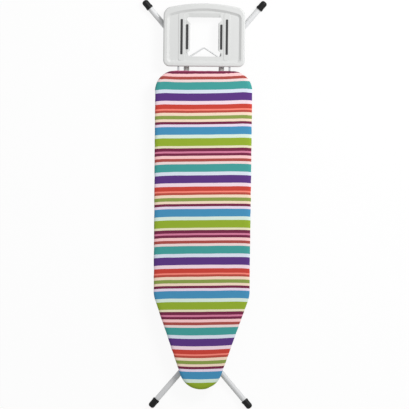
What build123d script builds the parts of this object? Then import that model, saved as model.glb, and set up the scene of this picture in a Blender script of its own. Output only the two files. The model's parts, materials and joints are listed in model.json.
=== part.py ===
from build123d import *
import os
from math import asin, cos, degrees, radians, sin, tan

# A folding ironing board with an iron rest, folded flat and lying on its four foot caps.
# Millimetres. +Z is up, +Y runs from the nose to the iron rest, and the origin is on the floor
# straight below the axle where the two legs cross. Left is -X, right is +X.

# Outline of the covered board, and how far it reaches past the leg pivots
PIVOT_SPAN = 800.0
REAR_OVERHANG = 124.0
NOSE_OVERHANG = 326.0
REAR_WIDTH = 380.0
SHOULDER_WIDTH = 375.0
TAPER_LENGTH = 386.0
REAR_CORNER_R = 79.0
SHOULDER_R = 122.0
NOSE_R = 84.0

# Clearances
SEAT_GAP = 0.02
RUN_GAP = 0.05
SLIDE_GAP = 0.3
CLOTH_GAP = 0.2

# Cover and pad
COVER_T = 1.2
COVER_EDGE_R = 7.0
PAD_T = 6.3

# Rim, mesh and crossbars
RIM_T = 1.2
RIM_HEIGHT = 20.0
FLANGE_WIDTH = 18.0
MESH_T = 1.0
MESH_PITCH = 42.0
MESH_STRAND = 8.0
MESH_BORDER = 12.0
BAR_WIDTH = 30.0
BAR_T = 1.2
NOSE_BAR_INSET = 135.0

# Leg tubes
TUBE_OD = 22.0
TUBE_WALL = 1.2
TUBE_OVERHANG = 14.0
BEND_R = 120.0
SPLAY_ANGLE = 40.5
FOOT_REACH = 399.0
REAR_FOOT_SPAN = 478.0
NOSE_FOOT_SPAN = 395.0
LEG_SPACER = 6.0
LEG_SIDE_GAP = 9.5
BRACE_OD = 16.0
REAR_BRACE_INSET = 16.0
NOSE_BRACE_REACH = 120.0
PLUG_HEAD_T = 2.5
PLUG_STEM = 6.0

# Foot caps
CAP_OD = 28.0
CAP_BODY_OD = 26.0
CAP_LENGTH = 39.0
CAP_COLLAR = 9.0
CAP_END_T = 12.0
CAP_END_R = 10.0

# Pins and axles
PIN_D = 8.0
PIN_HEAD_D = 14.0
PIN_HEAD_T = 1.4
SPACER_OD = 18.0

# Hinge brackets under the board
EAR_T = 2.0
EAR_GAP = 1.0
EAR_LENGTH = 26.0
EAR_DROP = 9.0
BRACKET_LENGTH = 50.0

# Slide rail, shoes and working heights
RAIL_WIDTH = 36.0
RAIL_T = 1.5
RAIL_FLOOR_GAP = 3.0
RAIL_END = 15.0
SHOE_LENGTH = 30.0
SHOE_HEIGHT = 14.0
SHOE_FLANGE_T = 2.0
SHOE_LIP = 2.0
SHOE_INSIDE = 1.0
OPEN_ANGLE = 49.0
HEIGHT_STEP = 90.0
HEIGHT_COUNT = 4

# Latch block and height lever
LEVER_T = 10.0
LEVER_ARM = 8.0
LEVER_PIN_D = 5.0
LEVER_PIVOT_Y = 14.0
LEVER_GRIP = 70.0
GRIP_T = 7.0
GRIP_DROP = 6.0
GRIP_END_R = 3.0
TOOTH_Y = -20.0
TOOTH_LENGTH = 8.0
TOOTH_HEIGHT = 5.0
TOOTH_GAP = 0.6
WINDOW_SLACK = 2.5
BLOCK_BACK = 30.0
BLOCK_FRONT = 26.0
BLOCK_TOP_GAP = 3.0
BLOCK_FLOOR_GAP = 6.0
BRIDGE_LENGTH = 20.0
BRIDGE_ROOM = 3.0
SPRING_T = 0.5
SPRING_WIDTH = 8.0

# Iron rest
ROD_D = 8.0
ROD_SPAN = 202.0
ROD_LEG_GAP = 1.5
ROD_HEM_GAP = 1.6
ROD_TRAVEL = 68.0
ROD_END_INSET = 45.0
COLLAR_OD = 10.4
COLLAR_LENGTH = 5.0
GUIDE_WIDTH = 28.0
GUIDE_LENGTH = 30.0
GUIDE_WALL = 6.0
REST_GAP = 17.5
TRAY_WIDTH = 321.0
TRAY_DEPTH = 249.0
TRAY_ARCH = 21.5
TRAY_FAR_R = 36.0
TRAY_NEAR_R = 25.0
TRAY_HEIGHT = 21.0
TRAY_WALL = 2.6
TRAY_RIM = 24.0
TRAY_FAR_RIM = 30.0
TRAY_RIM_RISE = 7.0
TRAY_RIM_SLOPE = 55.0
PANEL_R = 8.0
TRAY_ROD_GAP = 0.5
TRAY_EDGE_R = 6.0

# Opening in the tray, its two strip tabs and its inverted-V bar
OPENING_WIDTH = 136.0
OPENING_INSET = 40.0
OPENING_LENGTH = 154.0
OPENING_R = 6.0
RAMP_LENGTH = 16.0
RAMP_DROP = 4.0
TAB_REACH = 12.5
TAB_LENGTH = 131.0
TAB_EDGE_R = 5.0
V_BAR_D = 6.0
V_BAR_HALF = 54.5
V_BAR_RISE = 35.0
V_BAR_BEND_R = 8.0
V_BAR_SOCKET = 14.0
V_BAR_DROP = 9.0

# Heat strips on raised rails
STRIP_WIDTH = 9.0
STRIP_HEIGHT = 4.5
STRIP_SEAT = 3.0
OUTER_STRIP_SPAN = 178.0
OUTER_STRIP_LENGTH = 139.0
INNER_STRIP_SPAN = 134.0
INNER_STRIP_LENGTH = 99.0
STRIP_RAIL_WIDTH = 25.0
STRIP_RAIL_LENGTH = 188.0
STRIP_RAIL_RISE = 1.5
STRIP_RAIL_SLOPE = 35.0

# Rod clamps and screws
CLAMP_WIDTH = 26.0
CLAMP_LENGTH = 16.0
CLAMP_FLOOR = 5.0
CLAMP_INSETS = (65.0, 95.0)
SADDLE_INSET = 24.0
SCREW_D = 4.0
SCREW_HEAD_D = 7.0
SCREW_HEAD_T = 2.0
SCREW_GRIP = 6.0
SCREW_SPREAD = 9.0

# Heights from the floor up
LEG_Z = CAP_OD / 2
ROD_Z = LEG_Z + TUBE_OD / 2 + ROD_LEG_GAP + ROD_D / 2
HEM_Z = ROD_Z + ROD_D / 2 + ROD_HEM_GAP
RIM_Z = HEM_Z + COVER_T + CLOTH_GAP
RIM_TOP_Z = RIM_Z + RIM_HEIGHT
MESH_Z = RIM_TOP_Z - MESH_T
PAD_TOP_Z = RIM_TOP_Z + PAD_T
COVER_TOP_Z = PAD_TOP_Z + CLOTH_GAP + COVER_T
BAR_Z = RIM_Z + RIM_T
BAR_HEIGHT = MESH_Z - BAR_Z
WEB_Z = BAR_Z - RAIL_T
RAIL_HEIGHT = BAR_Z - RAIL_FLOOR_GAP

# Insets from the covered outline
RIM_INSET = COVER_T + CLOTH_GAP
RIM_INNER = RIM_INSET + RIM_T
FLANGE_INNER = RIM_INNER + FLANGE_WIDTH

# Leg and board layout
TUBE_R = TUBE_OD / 2
NOSE_LEG_X = RAIL_WIDTH / 2 + SLIDE_GAP + SHOE_FLANGE_T + LEG_SIDE_GAP + TUBE_R
REAR_LEG_X = NOSE_LEG_X + TUBE_OD + LEG_SPACER
HINGE_Y = -PIVOT_SPAN / 2
SLIDE_Y = PIVOT_SPAN / 2
FOOT_TIP_Y = PIVOT_SPAN / 2 + FOOT_REACH
LEG_REACH = PIVOT_SPAN / 2 + FOOT_TIP_Y
REAR_EDGE_Y = SLIDE_Y + REAR_OVERHANG
NOSE_Y = HINGE_Y - NOSE_OVERHANG
BOARD_LENGTH = REAR_EDGE_Y - NOSE_Y
REAR_BRACE_Y = REAR_EDGE_Y - REAR_BRACE_INSET
NOSE_BRACE_Y = HINGE_Y - NOSE_BRACE_REACH
NOSE_BAR_Y = NOSE_Y + NOSE_BAR_INSET

# Fold angle at each working height, and where the slide axle then stands
TOP_DROP = LEG_REACH * sin(radians(OPEN_ANGLE))
FOLD_ANGLES = [degrees(asin((TOP_DROP - step * HEIGHT_STEP) / LEG_REACH)) for step in range(HEIGHT_COUNT)]
AXLE_STOPS = [PIVOT_SPAN * cos(radians(angle)) - PIVOT_SPAN / 2 for angle in FOLD_ANGLES] + [SLIDE_Y]
WINDOWS = [stop + TOOTH_Y for stop in AXLE_STOPS]
WINDOW_LENGTH = TOOTH_LENGTH + 2 * WINDOW_SLACK
RAIL_NEAR_Y = AXLE_STOPS[0] - BLOCK_BACK - RAIL_END
RAIL_FAR_Y = SLIDE_Y + BLOCK_FRONT + RAIL_END
RAIL_BARS_Y = [(WINDOWS[0] + WINDOWS[1]) / 2, SLIDE_Y + BLOCK_FRONT - BAR_WIDTH / 4]

# Iron rest layout
ROD_X = ROD_SPAN / 2
TRAY_Y = REAR_EDGE_Y + REST_GAP
TRAY_FAR_Y = TRAY_Y + TRAY_DEPTH
TRAY_Z = ROD_Z + ROD_D / 2 + TRAY_ROD_GAP
TRAY_TOP_Z = TRAY_Z + TRAY_HEIGHT
PANEL_Z = TRAY_TOP_Z - TRAY_RIM_RISE
ROOF_Z = PANEL_Z - TRAY_WALL
OPENING_Y = TRAY_Y + OPENING_INSET + OPENING_LENGTH / 2
STRIP_RAIL_Z = PANEL_Z + STRIP_RAIL_RISE
ROD_FAR_Y = TRAY_FAR_Y - ROD_END_INSET
CLAMPS_Y = [TRAY_FAR_Y - inset for inset in CLAMP_INSETS]
SADDLE_Y = TRAY_Y + SADDLE_INSET
CLAMP_Z = ROD_Z - ROD_D / 2 - CLAMP_FLOOR
REAR_BAR_Y = REAR_EDGE_Y - FLANGE_INNER - GUIDE_LENGTH / 2 - SLIDE_GAP - COLLAR_LENGTH
GUIDES_Y = [REAR_BAR_Y, RAIL_BARS_Y[1]]
GUIDE_Z = ROD_Z - ROD_D / 2 - GUIDE_WALL
ROD_INNER_Y = GUIDES_Y[1] - GUIDE_LENGTH / 2 - ROD_TRAVEL - SLIDE_GAP - COLLAR_LENGTH

SIDES = {"left": -1, "right": 1}

os.makedirs("parts", exist_ok=True)


def keep(piece, name):
    """Label a finished piece and write it to a file of its own."""
    piece.part.label = name
    export_step(piece.part, f"parts/{name}.step")


def board_face(inset, z):
    """Board outline at height z, drawn in all round: the hull of five corner circles."""
    shoulder_x = SHOULDER_WIDTH / 2 - SHOULDER_R
    rear_x = REAR_WIDTH / 2 - REAR_CORNER_R
    corners = [(0, NOSE_Y + NOSE_R, NOSE_R)]
    for side in SIDES.values():
        corners.append((side * shoulder_x, NOSE_Y + TAPER_LENGTH, SHOULDER_R))
        corners.append((side * rear_x, REAR_EDGE_Y - REAR_CORNER_R, REAR_CORNER_R))
    with BuildSketch(Plane.XY.offset(z)) as face:
        make_hull([Edge.make_circle(radius - inset, Plane((x, y, 0))) for x, y, radius in corners])
    return face.sketch


def cross_face(x, y, z, radius):
    """Round face at x, looking along +X, for pins, axles and their holes."""
    with BuildSketch(Plane.YZ.offset(x)) as face:
        with Locations((y, z)):
            Circle(radius)
    return face.sketch


def flat_face(x, y, z, width, length):
    """Rectangle centred on (x, y) at height z."""
    with BuildSketch(Plane.XY.offset(z)) as face:
        with Locations((x, y)):
            Rectangle(width, length)
    return face.sketch


def round_faces(points, z, radius):
    """Discs at height z, one at each point."""
    with BuildSketch(Plane.XY.offset(z)) as faces:
        with Locations(*points):
            Circle(radius)
    return faces.sketch


def screw_points(x, y):
    """Two screws beside a rod at (x, y)."""
    return [(x - SCREW_SPREAD, y), (x + SCREW_SPREAD, y)]


# Rim: a rolled strip with a wall and an inward flange along its bottom edge
with BuildPart() as rim_frame:
    extrude(board_face(RIM_INSET, RIM_Z), amount=RIM_HEIGHT)
    extrude(board_face(RIM_INNER, RIM_Z + RIM_T), amount=RIM_HEIGHT - RIM_T, mode=Mode.SUBTRACT)
    extrude(board_face(FLANGE_INNER, RIM_Z), amount=RIM_T, mode=Mode.SUBTRACT)
keep(rim_frame, "rim_frame")

# Mesh top: one holed sheet inside the rim
hole_r = (MESH_PITCH - MESH_STRAND) / 2
mesh_field = board_face(RIM_INNER + MESH_BORDER + hole_r, MESH_Z).face()
with BuildPart() as mesh_top:
    with BuildSketch(Plane.XY.offset(MESH_Z)):
        add(board_face(RIM_INNER, 0))
        rows = int(BOARD_LENGTH / MESH_PITCH) * 2
        columns = int(REAR_WIDTH / MESH_PITCH) + 1
        with HexLocations(MESH_PITCH / 2, columns, rows) as grid:
            spots = [place.position for place in grid.local_locations]
        middle_y = REAR_EDGE_Y - BOARD_LENGTH / 2
        holes = [Vector(spot.X, spot.Y + middle_y, MESH_Z) for spot in spots]
        with Locations(*[(hole.X, hole.Y) for hole in holes if mesh_field.is_inside(hole)]):
            RegularPolygon(hole_r, 6, major_radius=False, mode=Mode.SUBTRACT)
    extrude(amount=MESH_T)
keep(mesh_top, "mesh_top")

# Crossbars: upturned channels inside the rim, drilled where screws hold a rod guide
BARS_Y = {
    "rear_crossbar": REAR_BAR_Y,
    "rail_far_crossbar": RAIL_BARS_Y[1],
    "rail_near_crossbar": RAIL_BARS_Y[0],
    "hinge_crossbar": HINGE_Y,
    "nose_crossbar": NOSE_BAR_Y,
}
for name, bar_y in BARS_Y.items():
    with BuildPart() as crossbar:
        extrude(flat_face(0, bar_y, BAR_Z, REAR_WIDTH, BAR_WIDTH), amount=BAR_HEIGHT)
        trough = flat_face(0, bar_y, BAR_Z + BAR_T, REAR_WIDTH, BAR_WIDTH - 2 * BAR_T)
        extrude(trough, amount=BAR_HEIGHT, mode=Mode.SUBTRACT)
        extrude(board_face(RIM_INNER, BAR_Z), amount=BAR_HEIGHT, mode=Mode.INTERSECT)
        if bar_y in GUIDES_Y:
            for side in SIDES.values():
                holes = round_faces(screw_points(side * ROD_X, bar_y), BAR_Z, SCREW_D / 2 + SEAT_GAP)
                extrude(holes, amount=BAR_T, mode=Mode.SUBTRACT)
    keep(crossbar, name)

# Slide rail: a channel under the crossbars, slotted for the shoes, with a window for each height
rail_length = RAIL_FAR_Y - RAIL_NEAR_Y
rail_middle_y = (RAIL_FAR_Y + RAIL_NEAR_Y) / 2
slot_length = SLIDE_Y - AXLE_STOPS[0] + SHOE_LENGTH + 2 * SLIDE_GAP
with BuildPart() as slide_rail:
    extrude(flat_face(0, rail_middle_y, RAIL_FLOOR_GAP, RAIL_WIDTH, rail_length), amount=RAIL_HEIGHT)
    inside = flat_face(0, rail_middle_y, RAIL_FLOOR_GAP, RAIL_WIDTH - 2 * RAIL_T, rail_length)
    extrude(inside, amount=RAIL_HEIGHT - RAIL_T, mode=Mode.SUBTRACT)
    with BuildSketch(Plane.YZ):
        with Locations(((SLIDE_Y + AXLE_STOPS[0]) / 2, LEG_Z)):
            Rectangle(slot_length, SHOE_HEIGHT + 2 * SLIDE_GAP)
    extrude(amount=RAIL_WIDTH, both=True, mode=Mode.SUBTRACT)
    with BuildSketch(Plane.XY.offset(WEB_Z)):
        with Locations(*[(0, window) for window in WINDOWS]):
            RectangleRounded(LEVER_T + 2 * SLIDE_GAP, WINDOW_LENGTH, 2 * SLIDE_GAP)
    extrude(amount=RAIL_T, mode=Mode.SUBTRACT)
keep(slide_rail, "slide_rail")

# Hinge brackets and pins: a base plate with two ears, one each side of a rear leg tube
ear_x = TUBE_R + EAR_GAP
for side_name, side in SIDES.items():
    leg_x = side * REAR_LEG_X
    with BuildPart() as hinge_bracket:
        plate_z = BAR_Z - EAR_T
        extrude(flat_face(leg_x, HINGE_Y, plate_z, 2 * (ear_x + EAR_T), BRACKET_LENGTH), amount=EAR_T)
        for turn in (-1, 1):
            ear_middle_x = leg_x + turn * (ear_x + EAR_T / 2)
            ear = flat_face(ear_middle_x, HINGE_Y, LEG_Z - EAR_DROP, EAR_T, EAR_LENGTH)
            extrude(ear, amount=plate_z - LEG_Z + EAR_DROP)
        bore = cross_face(leg_x, HINGE_Y, LEG_Z, PIN_D / 2 + SEAT_GAP)
        extrude(bore, amount=ear_x + 2 * EAR_T, both=True, mode=Mode.SUBTRACT)
        fillet(hinge_bracket.edges().filter_by(Axis.X).group_by(Axis.Z)[0], EAR_DROP / 2)
    keep(hinge_bracket, f"hinge_bracket_{side_name}")
    with BuildPart() as hinge_pin:
        half = ear_x + EAR_T
        extrude(cross_face(leg_x - half, HINGE_Y, LEG_Z, PIN_D / 2), amount=2 * half)
        extrude(cross_face(leg_x + half, HINGE_Y, LEG_Z, PIN_HEAD_D / 2), amount=PIN_HEAD_T)
        extrude(cross_face(leg_x - half - PIN_HEAD_T, HINGE_Y, LEG_Z, PIN_HEAD_D / 2), amount=PIN_HEAD_T)
    keep(hinge_pin, f"hinge_pin_{side_name}")

# Rod guides: blocks screwed up under a crossbar, bored for the iron rest's rods
for row_name, guide_y in zip(("rear", "front"), GUIDES_Y):
    for side_name, side in SIDES.items():
        rod_x = side * ROD_X
        with BuildPart() as rod_guide:
            extrude(flat_face(rod_x, guide_y, GUIDE_Z, GUIDE_WIDTH, GUIDE_LENGTH), amount=BAR_Z - GUIDE_Z)
            fillet(rod_guide.edges().filter_by(Axis.Y).group_by(Axis.Z)[0], GUIDE_WALL / 2)
            with BuildSketch(Plane.XZ.offset(-guide_y)):
                with Locations((rod_x, ROD_Z)):
                    Circle(ROD_D / 2 + RUN_GAP)
            extrude(amount=GUIDE_LENGTH, both=True, mode=Mode.SUBTRACT)
            spots = screw_points(rod_x, guide_y)
            holes = round_faces(spots, GUIDE_Z, SCREW_D / 2 + SEAT_GAP)
            extrude(holes, amount=BAR_Z - GUIDE_Z, mode=Mode.SUBTRACT)
            sinks = round_faces(spots, GUIDE_Z, SCREW_HEAD_D / 2 + SEAT_GAP)
            extrude(sinks, amount=SCREW_HEAD_T, mode=Mode.SUBTRACT)
        keep(rod_guide, f"rod_guide_{row_name}_{side_name}")


def screws(spots, head_z, length):
    """Cap screws standing head down at head_z, one at each point."""
    with BuildPart() as group:
        extrude(round_faces(spots, head_z, SCREW_HEAD_D / 2), amount=SCREW_HEAD_T)
        extrude(round_faces(spots, head_z + SCREW_HEAD_T, SCREW_D / 2), amount=length - SCREW_HEAD_T)
    return group


guide_spots = []
for guide_y in GUIDES_Y:
    for side in SIDES.values():
        guide_spots += screw_points(side * ROD_X, guide_y)
guide_screws = screws(guide_spots, GUIDE_Z, BAR_Z + BAR_T + SCREW_GRIP - GUIDE_Z)
keep(guide_screws, "guide_screws")

# Felt pad on the mesh, rounded over at its top edge
with BuildPart() as felt_pad:
    extrude(board_face(RIM_INSET, RIM_TOP_Z), amount=PAD_T)
    top_edges = felt_pad.edges().group_by(Axis.Z)[-1]
    fillet(top_edges, min(COVER_EDGE_R - COVER_T, 0.9 * PAD_T))
keep(felt_pad, "felt_pad")

# Cover: a thin shell over the pad and the rim, with its hem under the rim's flange
with BuildPart() as cover:
    extrude(board_face(0, HEM_Z), amount=COVER_TOP_Z - HEM_Z)
    fillet(cover.edges().group_by(Axis.Z)[-1], COVER_EDGE_R)
    extrude(board_face(FLANGE_INNER, HEM_Z), amount=COVER_T, mode=Mode.SUBTRACT)
    with BuildPart(mode=Mode.SUBTRACT) as hollow:
        extrude(board_face(COVER_T, HEM_Z + COVER_T), amount=COVER_TOP_Z - HEM_Z - 2 * COVER_T)
        fillet(hollow.edges().group_by(Axis.Z)[-1], COVER_EDGE_R - COVER_T)
keep(cover, "cover")


def splay(side, end, half_span):
    """Tip point of a foot and the outward direction of its tube, on the leg plane."""
    tip = Vector(side * half_span, end * FOOT_TIP_Y, LEG_Z)
    outward = Vector(side * sin(radians(SPLAY_ANGLE)), end * cos(radians(SPLAY_ANGLE)), 0)
    return tip, outward


def leg_tube(side, end, leg_x, half_span, run_holes, seat_holes):
    """Hollow tube from its top end to its splayed foot, drilled across for pins."""
    tip, outward = splay(side, end, half_span)
    foot = tip - outward * CAP_END_T
    bend_y = tip.Y - end * (half_span - leg_x) / tan(radians(SPLAY_ANGLE))
    top_y = -end * (PIVOT_SPAN / 2 + TUBE_OVERHANG)
    with BuildPart() as tube:
        with BuildLine() as route:
            corner = (side * leg_x, bend_y, LEG_Z)
            FilletPolyline((side * leg_x, top_y, LEG_Z), corner, tuple(foot), radius=BEND_R)
        with BuildSketch(Plane(route.line @ 0, z_dir=route.line % 0)):
            Circle(TUBE_R)
            Circle(TUBE_R - TUBE_WALL, mode=Mode.SUBTRACT)
        sweep(path=route.line)
        for hole_y, gap in [(y, RUN_GAP) for y in run_holes] + [(y, SEAT_GAP) for y in seat_holes]:
            hole = cross_face(side * leg_x, hole_y, LEG_Z, PIN_D / 2 + gap)
            extrude(hole, amount=TUBE_OD, both=True, mode=Mode.SUBTRACT)
    return tube


def foot_cap(side, end, half_span):
    """Cap pushed over a tube end: a collar, a plain body and a rounded tip."""
    tip, outward = splay(side, end, half_span)
    rim = Plane(tip - outward * CAP_LENGTH, z_dir=outward)
    with BuildPart() as cap:
        with BuildSketch(rim):
            Circle(CAP_BODY_OD / 2)
        extrude(amount=CAP_LENGTH)
        fillet(cap.edges().sort_by(Axis(tuple(tip), tuple(outward)))[-1], CAP_END_R)
        with BuildSketch(rim):
            Circle(CAP_OD / 2)
        extrude(amount=CAP_COLLAR)
        with BuildSketch(rim):
            Circle(TUBE_R + SEAT_GAP)
        extrude(amount=CAP_LENGTH - CAP_END_T, mode=Mode.SUBTRACT)
    return cap


def leg_brace(brace_y, leg_x):
    """Cross tube between the two tubes of a leg, cut to their round sides."""
    with BuildPart() as brace:
        extrude(cross_face(0, brace_y, LEG_Z, BRACE_OD / 2), amount=leg_x, both=True)
        bore = cross_face(0, brace_y, LEG_Z, BRACE_OD / 2 - TUBE_WALL)
        extrude(bore, amount=leg_x, both=True, mode=Mode.SUBTRACT)
        with BuildSketch(Plane.XZ.offset(-brace_y)):
            with Locations((-leg_x, LEG_Z), (leg_x, LEG_Z)):
                Circle(TUBE_R)
        extrude(amount=BRACE_OD, both=True, mode=Mode.SUBTRACT)
    return brace


def top_plugs(end, leg_x):
    """Two plugs that close the top ends of a leg's tubes."""
    mouth_y = -end * (PIVOT_SPAN / 2 + TUBE_OVERHANG)
    with BuildPart() as plugs:
        for side in SIDES.values():
            mouth = Plane((side * leg_x, mouth_y, LEG_Z), x_dir=(1, 0, 0), z_dir=(0, -end, 0))
            with BuildSketch(mouth):
                Circle(TUBE_R)
            extrude(amount=PLUG_HEAD_T)
            with BuildSketch(mouth):
                Circle(TUBE_R - TUBE_WALL - SEAT_GAP)
            extrude(amount=-PLUG_STEM)
    return plugs


# Rear leg: hinged under the nose side of the board, its feet past the iron rest
for side_name, side in SIDES.items():
    keep(leg_tube(side, 1, REAR_LEG_X, REAR_FOOT_SPAN / 2, [HINGE_Y], [0]), f"rear_leg_tube_{side_name}")
    keep(foot_cap(side, 1, REAR_FOOT_SPAN / 2), f"rear_foot_{side_name}")
keep(leg_brace(REAR_BRACE_Y, REAR_LEG_X), "rear_leg_brace")
keep(top_plugs(1, REAR_LEG_X), "rear_leg_plugs")

# Nose leg: inside the rear leg, its top on the slide axle, its feet past the nose
for side_name, side in SIDES.items():
    keep(leg_tube(side, -1, NOSE_LEG_X, NOSE_FOOT_SPAN / 2, [0], [SLIDE_Y]), f"nose_leg_tube_{side_name}")
    keep(foot_cap(side, -1, NOSE_FOOT_SPAN / 2), f"nose_foot_{side_name}")
keep(leg_brace(NOSE_BRACE_Y, NOSE_LEG_X), "nose_leg_brace")
keep(top_plugs(-1, NOSE_LEG_X), "nose_leg_plugs")


def headed_axle(y, half):
    """Axle across the legs with a flat head at each end."""
    with BuildPart() as axle:
        extrude(cross_face(0, y, LEG_Z, PIN_D / 2), amount=half, both=True)
        extrude(cross_face(half, y, LEG_Z, PIN_HEAD_D / 2), amount=PIN_HEAD_T)
        extrude(cross_face(-half - PIN_HEAD_T, y, LEG_Z, PIN_HEAD_D / 2), amount=PIN_HEAD_T)
    return axle


keep(headed_axle(0, REAR_LEG_X + TUBE_R), "cross_axle")
keep(headed_axle(SLIDE_Y, NOSE_LEG_X + TUBE_R), "slide_axle")

# Spacers on the cross axle, between the two legs' tubes
with BuildPart() as cross_spacers:
    for side in SIDES.values():
        start = side * (NOSE_LEG_X + TUBE_R + SLIDE_GAP)
        length = side * (LEG_SPACER - SLIDE_GAP)
        extrude(cross_face(start, 0, LEG_Z, SPACER_OD / 2), amount=length)
        extrude(cross_face(start, 0, LEG_Z, PIN_D / 2 + SEAT_GAP), amount=length, mode=Mode.SUBTRACT)
    with BuildSketch(Plane.XZ):
        with Locations((-REAR_LEG_X, LEG_Z), (REAR_LEG_X, LEG_Z)):
            Circle(TUBE_R)
    extrude(amount=SPACER_OD, both=True, mode=Mode.SUBTRACT)
keep(cross_spacers, "cross_spacers")

# Slide shoes: nylon blocks that run in the rail's slots on the slide axle
shoe_inner_x = RAIL_WIDTH / 2 - RAIL_T - SHOE_INSIDE
shoe_wall_x = RAIL_WIDTH / 2 + SLIDE_GAP
for side_name, side in SIDES.items():
    with BuildPart() as slide_shoe:
        with BuildSketch(Plane.YZ.offset(side * shoe_inner_x)):
            with Locations((SLIDE_Y, LEG_Z)):
                Rectangle(SHOE_LENGTH, SHOE_HEIGHT)
        extrude(amount=side * (shoe_wall_x - shoe_inner_x))
        with BuildSketch(Plane.YZ.offset(side * shoe_wall_x)):
            with Locations((SLIDE_Y, LEG_Z)):
                Rectangle(SHOE_LENGTH + 2 * SHOE_LIP, SHOE_HEIGHT + 2 * SHOE_LIP)
        extrude(amount=side * SHOE_FLANGE_T)
        bore = cross_face(0, SLIDE_Y, LEG_Z, PIN_D / 2 + RUN_GAP)
        extrude(bore, amount=RAIL_WIDTH, both=True, mode=Mode.SUBTRACT)
    keep(slide_shoe, f"slide_shoe_{side_name}")

# Heights inside the rail, down from its web
tooth_top_z = WEB_Z - TOOTH_GAP
arm_top_z = tooth_top_z - TOOTH_HEIGHT
arm_z = arm_top_z - LEVER_ARM
pivot_y = SLIDE_Y + LEVER_PIVOT_Y
pivot_z = arm_z + LEVER_ARM / 2
bridge_top_z = arm_z - BRIDGE_ROOM

# Latch block: two cheeks joined by a bridge round the slide axle
block_width = 2 * (shoe_inner_x - SLIDE_GAP)
block_length = BLOCK_BACK + BLOCK_FRONT
block_y = SLIDE_Y + (BLOCK_FRONT - BLOCK_BACK) / 2
block_top_z = WEB_Z - BLOCK_TOP_GAP
with BuildPart() as latch_block:
    body = flat_face(0, block_y, BLOCK_FLOOR_GAP, block_width, block_length)
    extrude(body, amount=block_top_z - BLOCK_FLOOR_GAP)
    lane = flat_face(0, block_y, BLOCK_FLOOR_GAP, LEVER_T + 2 * SLIDE_GAP, block_length)
    extrude(lane, amount=block_top_z - BLOCK_FLOOR_GAP, mode=Mode.SUBTRACT)
    bridge = flat_face(0, SLIDE_Y, BLOCK_FLOOR_GAP, block_width, BRIDGE_LENGTH)
    extrude(bridge, amount=bridge_top_z - BLOCK_FLOOR_GAP)
    axle_bore = cross_face(0, SLIDE_Y, LEG_Z, PIN_D / 2 + RUN_GAP)
    extrude(axle_bore, amount=block_width, both=True, mode=Mode.SUBTRACT)
    pin_bore = cross_face(0, pivot_y, pivot_z, LEVER_PIN_D / 2 + SEAT_GAP)
    extrude(pin_bore, amount=block_width, both=True, mode=Mode.SUBTRACT)
keep(latch_block, "latch_block")

with BuildPart() as lever_pin:
    extrude(cross_face(0, pivot_y, pivot_z, LEVER_PIN_D / 2), amount=block_width / 2, both=True)
keep(lever_pin, "lever_pin")

# Height lever: a tooth under the rail's web, a pivot and a finger grip that droops to the rear
tooth_back_y = SLIDE_Y + TOOTH_Y - TOOTH_LENGTH / 2
tooth_front_y = tooth_back_y + TOOTH_LENGTH
grip_end_y = pivot_y + LEVER_GRIP
grip_end_z = arm_top_z - GRIP_DROP
with BuildPart() as height_lever:
    with BuildSketch(Plane.YZ):
        with BuildLine():
            Polyline(
                (tooth_back_y, tooth_top_z),
                (tooth_front_y, tooth_top_z),
                (tooth_front_y, arm_top_z),
                (pivot_y + LEVER_ARM, arm_top_z),
                (grip_end_y, grip_end_z),
                (grip_end_y, grip_end_z - GRIP_T),
                (pivot_y + LEVER_ARM, arm_z),
                (tooth_back_y, arm_z),
                close=True,
            )
        make_face()
    extrude(amount=LEVER_T / 2, both=True)
    fillet(height_lever.edges().filter_by(Axis.X).group_by(Axis.Y)[-1], GRIP_END_R)
    pin_hole = cross_face(0, pivot_y, pivot_z, LEVER_PIN_D / 2 + RUN_GAP)
    extrude(pin_hole, amount=LEVER_T, both=True, mode=Mode.SUBTRACT)
keep(height_lever, "height_lever")

# Leaf spring: clipped on the bridge, its free end just under the tooth end of the lever
with BuildPart() as latch_spring:
    with BuildSketch(Plane.YZ):
        with BuildLine():
            bridge_near_y = SLIDE_Y - BRIDGE_LENGTH / 2
            Polyline(
                (SLIDE_Y, bridge_top_z),
                (SLIDE_Y, bridge_top_z + SPRING_T),
                (bridge_near_y, bridge_top_z + SPRING_T),
                (tooth_back_y, arm_z - SLIDE_GAP),
                (tooth_back_y, arm_z - SLIDE_GAP - SPRING_T),
                (bridge_near_y, bridge_top_z),
                close=True,
            )
        make_face()
    extrude(amount=SPRING_WIDTH / 2, both=True)
keep(latch_spring, "latch_spring")


def tray_face(inset, far_inset, z):
    """Tray outline at height z, drawn in by inset and at its arched far side by far_inset."""
    half = TRAY_WIDTH / 2 - inset
    near_y = TRAY_Y + inset
    far_y = TRAY_FAR_Y - far_inset
    shoulder_y = far_y - TRAY_ARCH
    with BuildSketch(Plane.XY.offset(z)) as face:
        with BuildLine():
            Polyline((-half, shoulder_y), (-half, near_y), (half, near_y), (half, shoulder_y))
            ThreePointArc((half, shoulder_y), (0, far_y), (-half, shoulder_y))
        make_face()
        fillet(face.vertices().group_by(Axis.Y)[0], max(TRAY_NEAR_R - inset, PANEL_R))
        fillet(face.vertices().group_by(Axis.Y)[-1], max(TRAY_FAR_R - inset, PANEL_R))
    return face.sketch


def opening_face(inset, z):
    """Tray opening at height z, drawn in by inset, narrowed by a chamfered tab on each side."""
    half = OPENING_WIDTH / 2 - inset
    length = OPENING_LENGTH - 2 * inset
    with BuildSketch(Plane.XY.offset(z)) as face:
        with Locations((0, OPENING_Y)):
            RectangleRounded(2 * half, length, OPENING_R)
        for side in SIDES.values():
            root = TAB_LENGTH / 2 + inset
            crest = root - TAB_REACH
            with BuildLine():
                Polyline(
                    (side * half, OPENING_Y - root),
                    (side * (half - TAB_REACH), OPENING_Y - crest),
                    (side * (half - TAB_REACH), OPENING_Y + crest),
                    (side * half, OPENING_Y + root),
                    close=True,
                )
            make_face(mode=Mode.SUBTRACT)
    return face.sketch


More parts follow.
